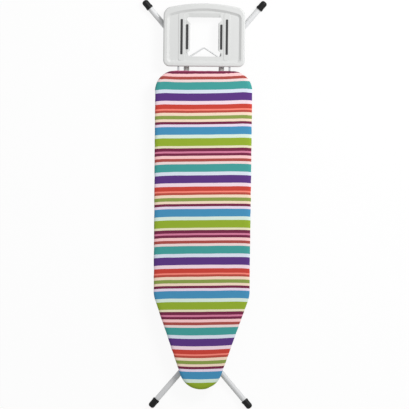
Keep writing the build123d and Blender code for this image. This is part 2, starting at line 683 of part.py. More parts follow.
def strip_face(x, length, gap, z):
    """Strip outline at x, with round ends, widened by gap all round."""
    with BuildSketch(Plane.XY.offset(z)) as face:
        with Locations((x, OPENING_Y)):
            RectangleRounded(STRIP_WIDTH + 2 * gap, length + 2 * gap, STRIP_WIDTH / 3)
    return face.sketch


# Inverted-V bar: a round bar across the near end of the opening, its ends in sockets of the tray
v_bar_z = PANEL_Z - V_BAR_DROP
v_foot_y = OPENING_Y - OPENING_LENGTH / 2
v_slope = V_BAR_RISE / V_BAR_HALF
with BuildPart() as v_bar:
    with BuildLine() as v_route:
        end_x = V_BAR_HALF + V_BAR_SOCKET
        end_y = v_foot_y - V_BAR_SOCKET * v_slope
        peak = (0, v_foot_y + V_BAR_RISE, v_bar_z)
        FilletPolyline((-end_x, end_y, v_bar_z), peak, (end_x, end_y, v_bar_z), radius=V_BAR_BEND_R)
    with BuildSketch(Plane(v_route.line @ 0, z_dir=v_route.line % 0)):
        Circle(V_BAR_D / 2)
    sweep(path=v_route.line)
keep(v_bar, "v_bar")

STRIPS = {
    "outer": (OUTER_STRIP_SPAN / 2, OUTER_STRIP_LENGTH),
    "inner": (INNER_STRIP_SPAN / 2, INNER_STRIP_LENGTH),
}
strip_z = STRIP_RAIL_Z - STRIP_SEAT
ramp_y = OPENING_Y + OPENING_LENGTH / 2

# Tray: a moulded shell with a raised rim, strip rails, a ramped opening, and seats for the rods
with BuildPart() as rest_tray:
    extrude(tray_face(0, 0, TRAY_Z), amount=TRAY_HEIGHT)
    fillet(rest_tray.edges().group_by(Axis.Z)[-1], TRAY_EDGE_R)
    panel = tray_face(TRAY_RIM, TRAY_FAR_RIM, PANEL_Z)
    extrude(panel, amount=TRAY_RIM_RISE, taper=-TRAY_RIM_SLOPE, mode=Mode.SUBTRACT)
    extrude(tray_face(TRAY_WALL, TRAY_WALL, TRAY_Z), amount=ROOF_Z - TRAY_Z, mode=Mode.SUBTRACT)
    extrude(opening_face(-TRAY_WALL, TRAY_Z), amount=ROOF_Z - TRAY_Z)
    ramp_bed = flat_face(0, ramp_y + RAMP_LENGTH / 2, ROOF_Z - RAMP_DROP, OPENING_WIDTH, RAMP_LENGTH)
    extrude(ramp_bed, amount=RAMP_DROP)
    for side in SIDES.values():
        with BuildSketch(Plane.XY.offset(PANEL_Z)):
            with Locations((side * OUTER_STRIP_SPAN / 2, OPENING_Y)):
                RectangleRounded(STRIP_RAIL_WIDTH, STRIP_RAIL_LENGTH, STRIP_RAIL_WIDTH / 3)
        extrude(amount=STRIP_RAIL_RISE, taper=STRIP_RAIL_SLOPE)
        tab_x = side * (OPENING_WIDTH / 2 - TAB_REACH / 2)
        tab = flat_face(tab_x, OPENING_Y, PANEL_Z, TAB_REACH, TAB_LENGTH)
        extrude(tab, amount=STRIP_RAIL_RISE)
        for boss_y in CLAMPS_Y + [SADDLE_Y]:
            boss = flat_face(side * ROD_X, boss_y, ROD_Z, CLAMP_WIDTH, CLAMP_LENGTH)
            extrude(boss, amount=ROOF_Z - ROD_Z)
        socket_x = side * (V_BAR_HALF + V_BAR_SOCKET / 2)
        socket_width = V_BAR_SOCKET + V_BAR_D
        socket_length = V_BAR_SOCKET * v_slope + V_BAR_D
        socket = flat_face(socket_x, v_foot_y - socket_length / 2, TRAY_Z, socket_width, socket_length)
        extrude(socket, amount=ROOF_Z - TRAY_Z)
    extrude(opening_face(0, TRAY_Z), amount=TRAY_HEIGHT, mode=Mode.SUBTRACT)
    with BuildSketch(Plane.YZ):
        with BuildLine():
            ramp_top = (ramp_y + RAMP_LENGTH, PANEL_Z)
            Polyline((ramp_y, PANEL_Z - RAMP_DROP), ramp_top, (ramp_y, PANEL_Z), close=True)
        make_face()
    extrude(amount=OPENING_WIDTH / 2 - OPENING_R, both=True, mode=Mode.SUBTRACT)
    tab_tops = rest_tray.edges().filter_by(Axis.Y).filter_by_position(Axis.Z, STRIP_RAIL_Z, STRIP_RAIL_Z)
    tab_edge_x = OPENING_WIDTH / 2 - TAB_REACH
    fillet(tab_tops.filter_by_position(Axis.X, -tab_edge_x, tab_edge_x), TAB_EDGE_R)
    for side in SIDES.values():
        for strip_x, strip_length in STRIPS.values():
            seat = strip_face(side * strip_x, strip_length, SEAT_GAP, strip_z)
            extrude(seat, amount=STRIP_SEAT, mode=Mode.SUBTRACT)
        for boss_y in CLAMPS_Y:
            holes = round_faces(screw_points(side * ROD_X, boss_y), ROD_Z, SCREW_D / 2 + SEAT_GAP)
            extrude(holes, amount=SCREW_GRIP + SEAT_GAP, mode=Mode.SUBTRACT)
        with BuildSketch(Plane.XZ.offset(-TRAY_Y)):
            with Locations((side * ROD_X, ROD_Z)):
                Circle(ROD_D / 2 + SEAT_GAP)
        extrude(amount=-TRAY_DEPTH, mode=Mode.SUBTRACT)
    with BuildSketch(Plane(v_route.line @ 0, z_dir=v_route.line % 0)):
        Circle(V_BAR_D / 2 + SEAT_GAP)
    sweep(path=v_route.line, mode=Mode.SUBTRACT)
keep(rest_tray, "rest_tray")

# Heat strips: soft bars seated in grooves on the tray
for side_name, side in SIDES.items():
    for strip_name, (strip_x, strip_length) in STRIPS.items():
        with BuildPart() as heat_strip:
            extrude(strip_face(side * strip_x, strip_length, 0, strip_z), amount=STRIP_HEIGHT)
            fillet(heat_strip.edges().group_by(Axis.Z)[-1], STRIP_WIDTH / 6)
        keep(heat_strip, f"heat_strip_{strip_name}_{side_name}")

# Rods: round bars in the guides, with a stop collar at the inner end and one behind the rear guide
for side_name, side in SIDES.items():
    with BuildPart() as rest_rod:
        rod_x = side * ROD_X
        back_stop_y = REAR_BAR_Y + GUIDE_LENGTH / 2 + SLIDE_GAP
        for near_y, length, width in (
            (ROD_INNER_Y, ROD_FAR_Y - ROD_INNER_Y, ROD_D),
            (ROD_INNER_Y, COLLAR_LENGTH, COLLAR_OD),
            (back_stop_y, COLLAR_LENGTH, COLLAR_OD),
        ):
            with BuildSketch(Plane.XZ.offset(-near_y)):
                with Locations((rod_x, ROD_Z)):
                    Circle(width / 2)
            extrude(amount=-length)
    keep(rest_rod, f"rest_rod_{side_name}")

# Rod clamps and their screws, under the tray's bosses
clamp_spots = []
with BuildPart() as rod_clamps:
    for side in SIDES.values():
        for clamp_y in CLAMPS_Y:
            rod_x = side * ROD_X
            spots = screw_points(rod_x, clamp_y)
            clamp_spots += spots
            extrude(flat_face(rod_x, clamp_y, CLAMP_Z, CLAMP_WIDTH, CLAMP_LENGTH), amount=ROD_Z - CLAMP_Z)
            holes = round_faces(spots, CLAMP_Z, SCREW_D / 2 + SEAT_GAP)
            extrude(holes, amount=ROD_Z - CLAMP_Z, mode=Mode.SUBTRACT)
            sinks = round_faces(spots, CLAMP_Z, SCREW_HEAD_D / 2 + SEAT_GAP)
            extrude(sinks, amount=SCREW_HEAD_T, mode=Mode.SUBTRACT)
            with BuildSketch(Plane.XZ.offset(-clamp_y)):
                with Locations((rod_x, ROD_Z)):
                    Circle(ROD_D / 2 + SEAT_GAP)
            extrude(amount=CLAMP_LENGTH, both=True, mode=Mode.SUBTRACT)
keep(rod_clamps, "rod_clamps")
clamp_screws = screws(clamp_spots, CLAMP_Z, ROD_Z + SCREW_GRIP - CLAMP_Z)
keep(clamp_screws, "clamp_screws")
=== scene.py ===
"""Dresses a folding ironing board: cover, pad, welds, spring, finishes and a white studio."""

import json
import logging
import math
from abc import ABC, abstractmethod
from dataclasses import dataclass, field
from enum import Enum
from functools import cache

import bpy
import numpy as np
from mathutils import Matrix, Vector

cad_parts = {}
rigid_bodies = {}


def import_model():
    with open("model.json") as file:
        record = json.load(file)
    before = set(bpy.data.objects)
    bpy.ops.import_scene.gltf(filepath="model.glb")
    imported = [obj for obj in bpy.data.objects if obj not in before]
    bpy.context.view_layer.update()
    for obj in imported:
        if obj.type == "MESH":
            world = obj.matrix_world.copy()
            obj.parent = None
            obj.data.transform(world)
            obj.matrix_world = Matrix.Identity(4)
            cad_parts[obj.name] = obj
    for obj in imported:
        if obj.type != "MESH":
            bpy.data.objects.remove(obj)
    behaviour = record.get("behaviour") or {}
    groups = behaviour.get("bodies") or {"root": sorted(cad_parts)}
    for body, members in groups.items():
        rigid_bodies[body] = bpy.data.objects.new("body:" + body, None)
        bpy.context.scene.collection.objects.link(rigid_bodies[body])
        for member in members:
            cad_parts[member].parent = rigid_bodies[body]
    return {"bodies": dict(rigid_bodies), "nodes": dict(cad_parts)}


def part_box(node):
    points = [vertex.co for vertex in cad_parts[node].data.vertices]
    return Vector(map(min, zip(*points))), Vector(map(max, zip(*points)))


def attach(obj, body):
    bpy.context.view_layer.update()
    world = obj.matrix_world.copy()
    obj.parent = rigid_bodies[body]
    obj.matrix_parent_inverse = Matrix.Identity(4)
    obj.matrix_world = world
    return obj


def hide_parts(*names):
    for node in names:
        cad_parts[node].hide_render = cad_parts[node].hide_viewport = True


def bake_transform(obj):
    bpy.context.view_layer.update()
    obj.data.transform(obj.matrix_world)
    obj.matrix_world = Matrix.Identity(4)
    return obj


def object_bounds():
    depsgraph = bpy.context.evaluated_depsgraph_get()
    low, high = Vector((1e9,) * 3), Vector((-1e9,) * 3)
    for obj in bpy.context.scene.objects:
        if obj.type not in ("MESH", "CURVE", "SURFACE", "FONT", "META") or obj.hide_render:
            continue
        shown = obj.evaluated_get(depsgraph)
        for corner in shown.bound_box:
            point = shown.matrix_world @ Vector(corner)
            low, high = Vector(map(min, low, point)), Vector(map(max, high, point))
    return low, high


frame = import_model()
cad_low, cad_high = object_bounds()

LOG = logging.getLogger("ironing_board")
NEXT_TO_NOTHING = 1e-9
Colour = tuple[int, int, int]
Array = np.ndarray


def linear(colour: Colour) -> tuple[float, float, float, float]:
    """Turn an 8-bit screen colour into the light values that a shader takes, by the sRGB curve.

    Args:
        colour: red, green and blue from 0 to 255.

    Returns:
        Red, green, blue and an alpha of 1.
    """
    share = np.array(colour) / 255.0
    light = np.where(share <= 0.04045, share / 12.92, ((share + 0.055) / 1.055) ** 2.4)
    return (float(light[0]), float(light[1]), float(light[2]), 1.0)


class Graph:
    """The node graph of one material, with a short method for each node that finishes share."""

    def __init__(self, name: str) -> None:
        """Start a material with one principled surface."""
        self.material = bpy.data.materials.new(name)
        self.material.use_nodes = True
        self.tree = self.material.node_tree
        self.surface = self.tree.nodes["Principled BSDF"]

    def node(self, kind: str, **settings: object) -> bpy.types.Node:
        """Add a node.

        Args:
            kind: the node's class name without its ShaderNode prefix.
            settings: properties to set on it.

        Returns:
            The new node.
        """
        made = self.tree.nodes.new("ShaderNode" + kind)
        for name, value in settings.items():
            setattr(made, name, value)
        return made

    def feed(self, socket: bpy.types.NodeSocket, value: object) -> None:
        """Link a socket to another one, or set it to a plain value."""
        if isinstance(value, bpy.types.NodeSocket):
            self.tree.links.new(value, socket)
        else:
            socket.default_value = value

    def sum(self, operation: str, first: object, second: object = 0.0) -> bpy.types.NodeSocket:
        """Work out one arithmetic step.

        Args:
            operation: the Math node's operation.
            first: a socket or a number.
            second: a socket or a number.

        Returns:
            The result's socket.
        """
        math_node = self.node("Math", operation=operation)
        self.feed(math_node.inputs[0], first)
        self.feed(math_node.inputs[1], second)
        return math_node.outputs[0]

    def place(self) -> bpy.types.NodeSocket:
        """Object coordinates, in metres."""
        return self.node("TexCoord").outputs["Object"]

    def noise(self, vector: object, size: float, detail: float = 3.0) -> bpy.types.NodeSocket:
        """Cloudy noise from 0 to 1.

        Args:
            vector: the coordinates' socket.
            size: length of one blotch, in metres.
            detail: how many finer layers it has.

        Returns:
            The noise value's socket.
        """
        cloud = self.node("TexNoise")
        self.feed(cloud.inputs["Vector"], vector)
        self.feed(cloud.inputs["Scale"], 1.0 / size)
        self.feed(cloud.inputs["Detail"], detail)
        return cloud.outputs[0]

    def span(self, value: object, low: float, high: float) -> bpy.types.NodeSocket:
        """Spread a value from 0 to 1 over another range.

        Args:
            value: the socket to spread.
            low: result at 0.
            high: result at 1.

        Returns:
            The result's socket.
        """
        spread = self.node("MapRange")
        self.feed(spread.inputs["Value"], value)
        self.feed(spread.inputs["To Min"], low)
        self.feed(spread.inputs["To Max"], high)
        return spread.outputs[0]

    def shade(self, colour: object, amount: object) -> bpy.types.NodeSocket:
        """Multiply a colour by a grey amount.

        Args:
            colour: a socket or a colour.
            amount: the grey's socket.

        Returns:
            The shaded colour's socket.
        """
        mix = self.node("MixRGB", blend_type="MULTIPLY")
        self.feed(mix.inputs[0], 1.0)
        self.feed(mix.inputs[1], colour)
        self.feed(mix.inputs[2], amount)
        return mix.outputs[0]

    def bump(self, height: object, depth: float, strength: float) -> None:
        """Raise the surface by a height.

        Args:
            height: the height's socket, from 0 to 1.
            depth: what 1 stands for, in metres.
            strength: share of the effect that shows.
        """
        relief = self.node("Bump")
        self.feed(relief.inputs["Height"], height)
        self.feed(relief.inputs["Distance"], depth)
        self.feed(relief.inputs["Strength"], strength)
        self.feed(self.surface.inputs["Normal"], relief.outputs[0])


class Grain(Enum):
    """Surface textures: the length of one grain in metres along X, Y and Z."""

    PEEL = (0.0016, 0.0016, 0.0016)
    DRAWN = (0.0004, 0.0150, 0.0004)
    MOULD = (0.0007, 0.0007, 0.0007)
    MATTE = (0.0011, 0.0011, 0.0011)


@dataclass(frozen=True)
class HardFinish:
    """A paint, metal, plastic or rubber: a colour with light blotches over a fine grain."""

    name: str
    colour: Colour
    grain: Grain
    roughness: float
    metallic: float = 0.0
    coat: float = 0.0
    specular: float = 0.5
    blotch: float = 0.03
    blotch_size: float = 0.04
    blotch_detail: float = 4.0
    grain_depth: float = 0.00012
    grain_strength: float = 0.12
    grain_detail: float = 2.0
    grain_wear: float = 0.10
    blotch_wear: float = 0.14

    @cache
    def material(self) -> bpy.types.Material:
        """Build the finish once. Grain and blotches also vary its roughness, about its mean.

        Returns:
            Its material.
        """
        graph = Graph(self.name)
        place = graph.place()
        stretch = graph.node("Mapping")
        graph.feed(stretch.inputs["Vector"], place)
        graph.feed(stretch.inputs["Scale"], tuple(1.0 / size for size in self.grain.value))
        fine = graph.noise(stretch.outputs[0], 1.0, self.grain_detail)
        cloud = graph.noise(place, self.blotch_size, self.blotch_detail)
        tone = graph.span(cloud, 1.0 - self.blotch, 1.0 + self.blotch)
        graph.feed(graph.surface.inputs["Base Color"], graph.shade(linear(self.colour), tone))
        worn = graph.sum("MULTIPLY", fine, self.grain_wear)
        wear = graph.sum("ADD", worn, graph.sum("MULTIPLY", cloud, self.blotch_wear))
        least = self.roughness - (self.grain_wear + self.blotch_wear) / 2
        graph.feed(graph.surface.inputs["Roughness"], graph.sum("ADD", wear, least))
        graph.feed(graph.surface.inputs["Metallic"], self.metallic)
        graph.feed(graph.surface.inputs["Coat Weight"], self.coat)
        graph.feed(graph.surface.inputs["Specular IOR Level"], self.specular)
        graph.bump(fine, self.grain_depth, self.grain_strength)
        return graph.material


class Dye(Enum):
    """Colours of the cover's woven stripes."""

    TEAL = (72, 160, 156)
    PURPLE = (94, 59, 131)
    RED = (204, 72, 61)
    BRICK = (188, 82, 70)
    CORAL = (252, 138, 124)
    OLIVE = (141, 160, 80)
    MAROON = (120, 46, 74)
    BLUE = (74, 147, 189)
    LIME = (150, 176, 54)
    PINK = (216, 128, 160)
    RUST = (173, 82, 75)
    ICE = (221, 229, 242)
    MINT = (221, 238, 226)
    BLUSH = (243, 219, 218)
    ROSE = (254, 204, 205)
    CREAM = (248, 223, 200)
    STRAW = (236, 228, 197)
    LAVENDER = (245, 221, 232)
    LILAC = (236, 219, 238)


@dataclass(frozen=True)
class StripedCotton:
    """Woven cotton with a repeat of stripes, read from the cut's own flat coordinates."""

    name: str = "striped_cotton"
    repeat: float = 0.322
    first_stripe: float = 0.4805
    thread: float = 0.0011
    waver: float = 0.0012
    waver_size: float = 0.09
    slub_scale: tuple[float, float, float] = (30.0, 900.0, 1.0)
    slub_detail: float = 2.0
    slub_shade: tuple[float, float] = (0.0, 0.10)
    weave_shade: tuple[float, float] = (0.88, 0.96)
    weave_height: tuple[float, float] = (0.5, 1.0)
    roughness: tuple[float, float] = (0.78, 0.96)
    specular: float = 0.05
    relief: float = 0.00025
    relief_strength: float = 0.22
    stripes: tuple[tuple[float, Dye], ...] = (
        (0.0, Dye.TEAL),
        (0.029, Dye.ICE),
        (0.043, Dye.PURPLE),
        (0.073, Dye.LAVENDER),
        (0.087, Dye.RED),
        (0.1045, Dye.CORAL),
        (0.111, Dye.BRICK),
        (0.120, Dye.CREAM),
        (0.132, Dye.OLIVE),
        (0.145, Dye.CREAM),
        (0.155, Dye.MAROON),
        (0.166, Dye.LILAC),
        (0.176, Dye.BLUE),
        (0.206, Dye.MINT),
        (0.220, Dye.LIME),
        (0.250, Dye.STRAW),
        (0.259, Dye.MAROON),
        (0.271, Dye.PINK),
        (0.279, Dye.MAROON),
        (0.289, Dye.ROSE),
        (0.300, Dye.RUST),
        (0.311, Dye.BLUSH),
    )

    @cache
    def material(self) -> bpy.types.Material:
        """Build the cloth once: stripes by a stepped ramp, darkened and raised by its threads.

        Returns:
            Its material.
        """
        graph = Graph(self.name)
        cut = graph.node("UVMap", uv_map="cut").outputs[0]
        parts = graph.node("SeparateXYZ")
        graph.feed(parts.inputs[0], cut)
        across, along = parts.outputs[0], parts.outputs[1]
        drift = graph.span(graph.noise(cut, self.waver_size, 1.0), -self.waver, self.waver)
        from_first = graph.sum("SUBTRACT", self.first_stripe, graph.sum("ADD", along, drift))
        ramp = graph.node("ValToRGB")
        ramp.color_ramp.interpolation = "CONSTANT"
        stops = ramp.color_ramp.elements
        while len(stops) < len(self.stripes):
            stops.new(0.5)
        for stop, (start, dye) in zip(stops, self.stripes):
            stop.position = start / self.repeat
            stop.color = linear(dye.value)
        repeats = graph.sum("DIVIDE", from_first, self.repeat)
        graph.feed(ramp.inputs[0], graph.sum("FRACT", repeats))
        turn = 2.0 * math.pi / self.thread
        warp = graph.sum("SINE", graph.sum("MULTIPLY", across, turn))
        weft = graph.sum("SINE", graph.sum("MULTIPLY", along, turn))
        weave = graph.span(graph.sum("MULTIPLY", warp, weft), *self.weave_height)
        slub = graph.node("Mapping")
        graph.feed(slub.inputs["Vector"], cut)
        graph.feed(slub.inputs["Scale"], self.slub_scale)
        streak = graph.noise(slub.outputs[0], 1.0, self.slub_detail)
        uneven = graph.span(streak, *self.slub_shade)
        tone = graph.sum("ADD", uneven, graph.span(weave, *self.weave_shade))
        graph.feed(graph.surface.inputs["Base Color"], graph.shade(ramp.outputs[0], tone))
        graph.feed(graph.surface.inputs["Roughness"], graph.span(streak, *self.roughness))
        graph.feed(graph.surface.inputs["Specular IOR Level"], self.specular)
        graph.bump(graph.sum("ADD", weave, streak), self.relief, self.relief_strength)
        return graph.material


@dataclass(frozen=True)
class Felt:
    """Pressed wool felt: pale, matted and fibrous."""

    name: str = "pale_felt"
    colour: Colour = (206, 198, 183)
    fibre: float = 0.0012
    fibre_detail: float = 5.0
    fibre_shade: tuple[float, float] = (0.0, 0.22)
    tuft: float = 0.018
    tuft_detail: float = 3.0
    tuft_shade: tuple[float, float] = (0.78, 0.92)
    roughness: tuple[float, float] = (0.9, 1.0)
    sheen: float = 0.2
    relief: float = 0.0006
    relief_strength: float = 0.5

    @cache
    def material(self) -> bpy.types.Material:
        """Build the felt once.

        Returns:
            Its material.
        """
        graph = Graph(self.name)
        place = graph.place()
        fibre = graph.noise(place, self.fibre, self.fibre_detail)
        tuft = graph.noise(place, self.tuft, self.tuft_detail)
        matted = graph.span(fibre, *self.fibre_shade)
        tone = graph.sum("ADD", matted, graph.span(tuft, *self.tuft_shade))
        graph.feed(graph.surface.inputs["Base Color"], graph.shade(linear(self.colour), tone))
        graph.feed(graph.surface.inputs["Roughness"], graph.span(fibre, *self.roughness))
        graph.feed(graph.surface.inputs["Sheen Weight"], self.sheen)
        graph.bump(graph.sum("ADD", fibre, tuft), self.relief, self.relief_strength)
        return graph.material


GREY_PAINT = HardFinish("grey_paint", (214, 215, 216), Grain.PEEL, 0.36, coat=0.15)
ZINC = HardFinish(
    "bright_zinc", (192, 193, 196), Grain.DRAWN, 0.24, metallic=1.0, grain_strength=0.06
)
TRAY_PLASTIC = HardFinish(
    "tray_plastic", (213, 214, 213), Grain.MOULD, 0.5, blotch=0.015, blotch_size=0.09
)
STRIP_RUBBER = HardFinish(
    "strip_rubber", (60, 60, 61), Grain.MATTE, 0.62, specular=0.2, blotch=0.12
)
FOOT_RUBBER = HardFinish(
    "foot_rubber", (14, 14, 15), Grain.MATTE, 0.46, specular=0.2, blotch=0.15
)
NYLON = HardFinish("dark_nylon", (42, 43, 45), Grain.MOULD, 0.42, specular=0.3, blotch=0.08)


@dataclass(frozen=True)
class Outline:
    """Plan of the covered board: the hull of one nose, two shoulder and two rear circles."""

    rear_width: float = 0.380
    shoulder_width: float = 0.375
    taper_length: float = 0.386
    rear_corner_r: float = 0.079
    shoulder_r: float = 0.122
    nose_r: float = 0.084
    samples: int = 4001
    quarters: tuple[float, ...] = (-135.0, -45.0, 45.0, 135.0, 225.0)

    def circles(self) -> tuple[Array, Array]:
        """Centres and radii of the five circles, placed by the CAD cover's ends.

        Returns:
            Centres, five by two, and radii.
        """
        low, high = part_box("cover")
        shoulder = (self.shoulder_width / 2 - self.shoulder_r, low.y + self.taper_length)
        rear = (self.rear_width / 2 - self.rear_corner_r, high.y - self.rear_corner_r)
        centres = [(0.0, low.y + self.nose_r), shoulder, rear]
        centres += [(-x, y) for x, y in (shoulder, rear)]
        radii = [self.nose_r, *(self.shoulder_r, self.rear_corner_r) * 2]
        return np.array(centres), np.array(radii)

    def run(self, start: float, end: float, count: int) -> tuple[Array, Array]:
        """Evenly spaced points of the outline between two facing directions.

        A direction's furthest point lies on the circle that reaches furthest that way, and a
        straight run is the jump between two circles, so the points are spaced again by length.

        Args:
            start: first facing direction, in degrees from +X.
            end: last facing direction.
            count: how many points.

        Returns:
            Points and outward directions, count by two each.
        """
        turn = np.radians(np.linspace(start, end, self.samples))
        facing = np.stack([np.cos(turn), np.sin(turn)], axis=1)
        centres, radii = self.circles()
        furthest = (facing @ centres.T + radii).argmax(axis=1)
        points = centres[furthest] + radii[furthest, None] * facing
        step = np.linalg.norm(np.diff(points, axis=0), axis=1)
        length = np.concatenate([[0.0], np.cumsum(step)])
        at = np.linspace(0.0, length[-1], count)
        spaced = np.stack([np.interp(at, length, points[:, axis]) for axis in (0, 1)], axis=1)
        angle = np.interp(at, length, turn)
        return spaced, np.stack([np.cos(angle), np.sin(angle)], axis=1)

    def loop(self, across: int, along: int) -> tuple[Array, Array]:
        """The whole outline, anticlockwise from the nose's left quarter, as four joined runs.

        Args:
            across: points along the nose run and along the rear run.
            along: points along each side run.

        Returns:
            Points and outward directions.
        """
        counts = (across, along, across, along)
        runs = [self.run(*ends) for ends in zip(self.quarters, self.quarters[1:], counts)]
        points = np.concatenate([points[:-1] for points, _ in runs])
        facing = np.concatenate([facing[:-1] for _, facing in runs])
        return points, facing


@dataclass(frozen=True)
class Lattice:
    """Point numbers of a board-shaped patch, across by along, and of the rings round it."""

    across: int
    along: int

    def edge(self) -> Array:
        """Numbers of the patch's border points, in the outline's order.

        Returns:
            One number for each outline point.
        """
        grid = np.arange(self.across * self.along).reshape(self.along, self.across)
        return np.concatenate([grid[0, :-1], grid[:-1, -1], grid[-1, :0:-1], grid[:0:-1, 0]])

    def patch(self, border: Array) -> Array:
        """Fill a closed border with a smooth patch.

        Each inner point is the blend of the two end runs and the two side runs, less the blend of
        the four corners that both hold.

        Args:
            border: border points in the outline's order.

        Returns:
            Patch points, along times across.
        """
        wide, tall = self.across - 1, self.along - 1
        nose, rear = border[: wide + 1], border[wide + tall : 2 * wide + tall + 1][::-1]
        right = border[wide : wide + tall + 1]
        left = np.concatenate([border[2 * wide + tall :], border[:1]])[::-1]
        u = np.linspace(0.0, 1.0, self.across)[None, :, None]
        v = np.linspace(0.0, 1.0, self.along)[:, None, None]
        ends = (1 - v) * nose[None] + v * rear[None]
        sides = (1 - u) * left[:, None] + u * right[:, None]
        low = (1 - u) * nose[0] + u * nose[-1]
        high = (1 - u) * rear[0] + u * rear[-1]
        return (ends + sides - (1 - v) * low - v * high).reshape(-1, border.shape[1])

    def swell(self) -> Array:
        """How far into the patch each point lies: 0 at the border, 1 in the middle.

        Returns:
            One share for each patch point.
        """
        u = np.sin(np.linspace(0.0, math.pi, self.across))
        v = np.sqrt(np.abs(np.sin(np.linspace(0.0, math.pi, self.along))))
        return (v[:, None] * u[None, :]).ravel()

    def patch_faces(self, first: int = 0) -> Array:
        """Quads of a patch whose points start at a number.

        Args:
            first: number of the patch's first point.

        Returns:
            Four point numbers for each quad, facing up.
        """
        grid = np.arange(self.across * self.along).reshape(self.along, self.across) + first
        corners = (grid[:-1, :-1], grid[:-1, 1:], grid[1:, 1:], grid[1:, :-1])
        return np.stack(corners, axis=-1).reshape(-1, 4)

    @staticmethod
    def band_faces(rings: Array) -> Array:
        """Quads between rings of point numbers, each ring closed on itself.

        Args:
            rings: one row of numbers for each ring, from the inside out.

        Returns:
            Four point numbers for each quad, facing out.
        """
        onward = np.roll(rings, -1, axis=1)
        corners = (rings[:-1], rings[1:], onward[1:], onward[:-1])
        return np.stack(corners, axis=-1).reshape(-1, 4)


def new_piece(
    name: str,
    points: Array,
    faces: Array,
    material: bpy.types.Material,
    smooth: bool = True,
) -> bpy.types.Object:
    """Make a mesh piece that no body carries yet.

    Args:
        name: the piece's name.
        points: its points, in metres.
        faces: its quads.
        material: its finish.
        smooth: whether light runs smoothly over its edges.

    Returns:
        The piece.
    """
    mesh = bpy.data.meshes.new(name)
    mesh.from_pydata(points.tolist(), [], faces.tolist())
    mesh.polygons.foreach_set("use_smooth", np.full(len(faces), smooth))
    mesh.materials.append(material)
    mesh.update()
    piece = bpy.data.objects.new(name, mesh)
    bpy.context.scene.collection.objects.link(piece)
    LOG.info("%s: %d points, %d faces", name, len(points), len(faces))
    return piece


@dataclass
class FeltPad:
    """The pad between mesh and cover: one thickness of felt with a soft top edge."""

    outline: Outline
    inset: float = 0.0014
    edge_in: float = 0.0116
    edge_drop: float = 0.0060
    edge_rings: int = 7
    crown: float = 0.0004
    fill: float = 0.9
    lattice: Lattice = field(default_factory=lambda: Lattice(41, 131))
    finish: Felt = field(default_factory=Felt)

    def build(self) -> bpy.types.Object:
        """Close a top patch, a rounded side and a flat underside.

        The side is a quarter ellipse at the top and then straight. The top swells a little
        towards its middle.

        Returns:
            The pad.
        """
        low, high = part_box("felt_pad")
        plan, facing = self.outline.loop(self.lattice.across, self.lattice.along)
        turn = np.linspace(0.0, math.pi / 2, self.edge_rings)
        inset = np.concatenate([self.inset + self.edge_in * (1 - np.sin(turn)), [self.inset]])
        height = np.concatenate([high.z - self.edge_drop * (1 - np.cos(turn)), [low.z]])
        flat = plan[None] - inset[:, None, None] * facing[None]
        level = np.broadcast_to(height[:, None, None], (*flat.shape[:2], 1))
        rings = np.concatenate([flat, level], axis=2)
        top = self.lattice.patch(rings[0])
        top[:, 2] += self.crown * self.lattice.swell()
        under = self.lattice.patch(rings[-1])
        points = np.concatenate([top, rings[1:-1].reshape(-1, 3), under])
        edge, around = self.lattice.edge(), plan.shape[0]
        numbers = len(top) + np.arange((len(rings) - 2) * around).reshape(-1, around)
        under_first = len(top) + numbers.size
        band = Lattice.band_faces(np.concatenate([edge[None], numbers, edge[None] + under_first]))
        under_faces = self.lattice.patch_faces(under_first)[:, ::-1]
        faces = np.concatenate([self.lattice.patch_faces(), band, under_faces])
        pad = new_piece("felt_pad_soft", points, faces, self.finish.material())
        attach(pad, "board")
        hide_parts("felt_pad")
        return pad


@dataclass(frozen=True)
class StripeBow:
    """How the stripes lie a little askew on the board, as the cloth was pulled."""

    half_width: float = 0.173
    skew: float = 0.0035
    edge_dip: float = 0.0016
    edge_power: int = 8
    edge_limit: float = 1.15
    rear_lift: float = 0.0025
    rear_start: float = 0.12
    rear_length: float = 0.31
    rear_limit: float = 1.2
    rear_beside: float = 0.8
    rear_power: int = 3
    rear_beside_limit: float = 1.1
    nose_start: float = -0.30
    nose_length: float = 0.333
    nose_limit: float = 1.3
    nose_draw: float = 0.0030
    nose_curve: float = 0.0028
    nose_beside: float = 0.457
    nose_beside_limit: float = 1.8

    def straighten(self, flat: Array) -> Array:
        """Coordinates of the cut on which the pulled stripes are straight again.

        The stripes rise from left to right, dip by a high power at the very edge, turn up by a
        cube beside the rear corners, and are drawn back by a square past the shoulder.

        Args:
            flat: places on the flat cut.

        Returns:
            The same places with the stripes' shift taken off.
        """
        x, y = flat[:, 0], flat[:, 1]
        beside = np.abs(x) / self.half_width
        skew = self.skew * x / self.half_width
        edge = -self.edge_dip * np.minimum(beside, self.edge_limit) ** self.edge_power
        to_rear = np.clip((y - self.rear_start) / self.rear_length, 0.0, self.rear_limit)
        corner = np.minimum(beside / self.rear_beside, self.rear_beside_limit) ** self.rear_power
        to_nose = np.clip((self.nose_start - y) / self.nose_length, 0.0, self.nose_limit) ** 2
        curve = np.minimum(beside / self.nose_beside, self.nose_beside_limit) ** 2
        rear = self.rear_lift * to_rear * corner
        nose = to_nose * (self.nose_draw + self.nose_curve * curve)
        return np.stack([x, y - skew - edge - rear - nose], axis=1)


